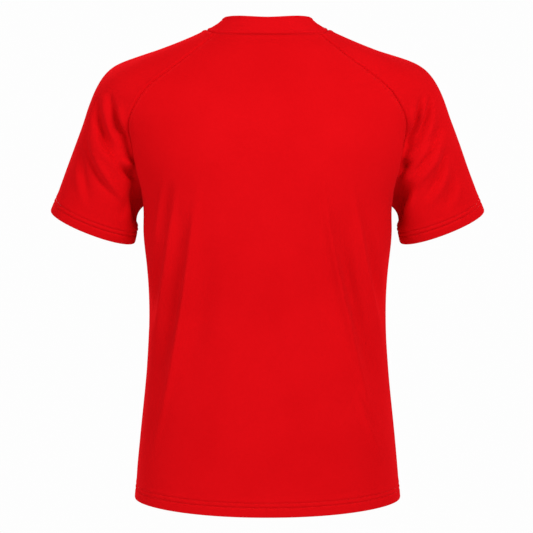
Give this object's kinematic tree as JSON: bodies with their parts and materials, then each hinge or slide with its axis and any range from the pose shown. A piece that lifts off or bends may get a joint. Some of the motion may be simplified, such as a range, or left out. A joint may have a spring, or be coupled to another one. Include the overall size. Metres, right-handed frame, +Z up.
{
  "type": "football jersey",
  "caption": "Short-sleeved raglan football jersey in plain knitted cloth, filled out as worn, with a stand crew collar and turned-up hem and cuffs.",
  "frame": {"origin": "midway between the tops of the two shoulders beside the neck, where the wearer's shoulders carry the jersey", "axes": "+Z up from hem to neck, -Y towards the wearer's front, +X towards the wearer's left"},
  "size_m": [0.651, 0.2448, 0.7242],
  "materials": {
    "body_knit": "matt polyester knit, plain red",
    "collar_knit": "matt double polyester knit, plain red"
  },
  "bodies": {
    "root": {"back_panel": "body_knit", "front_panel": "body_knit", "sleeve_left": "body_knit", "sleeve_right": "body_knit", "collar": "collar_knit"}
  },
  "joints": []
}
